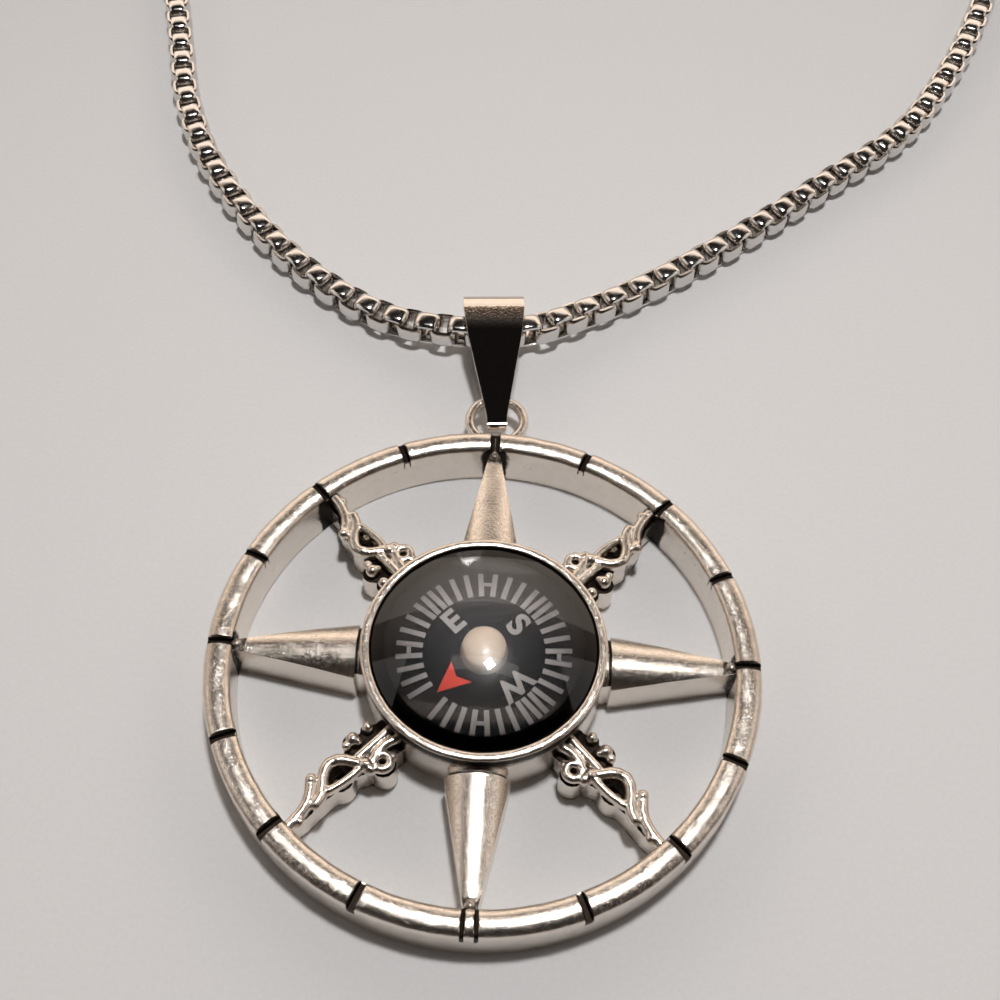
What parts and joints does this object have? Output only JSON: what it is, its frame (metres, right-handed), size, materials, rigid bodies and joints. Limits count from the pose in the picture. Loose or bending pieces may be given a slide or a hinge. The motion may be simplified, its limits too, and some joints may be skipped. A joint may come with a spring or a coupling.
{
  "type": "compass pendant on a chain",
  "caption": "Ring-and-rays compass pendant cast in antique silver finish, with a domed floating-card compass, a folded bail and a round box chain, lying flat.",
  "frame": {"origin": "middle of the pendant's flat back, on the surface that it lies on", "axes": "+X to the right of the pendant's face, +Y up the pendant towards its bail and chain, +Z out of its face"},
  "size_m": [0.1435, 0.2983, 0.0082],
  "materials": {
    "cast_metal": "antique silver plated zinc casting, worn bright on the edges and oxidised black in the recesses",
    "black_plastic": "glossy black",
    "pin_metal": "turned",
    "card_black": "satin black with printed grey marks, letters and a red arrow",
    "cap_pearl": "pearl beige",
    "clear_lens": "clear polished dome",
    "polished_steel": "polished stainless steel with fine scratches",
    "chain_steel": "polished stainless box links, dark between them"
  },
  "bodies": {
    "necklace": {"compass_frame": "cast_metal", "capsule_body": "black_plastic", "pivot_pin": "pin_metal", "dome_lens": "clear_lens", "bail": "polished_steel", "chain": "chain_steel", "clasp": "polished_steel"},
    "card": {"compass_card": "card_black", "card_cap": "cap_pearl"}
  },
  "joints": [
    {"name": "card_spin", "type": "hinge", "parent": "necklace", "child": "card", "pos_m": [0, 0, 0.0038], "axis": [0, 0, 1], "continuous": true}
  ]
}
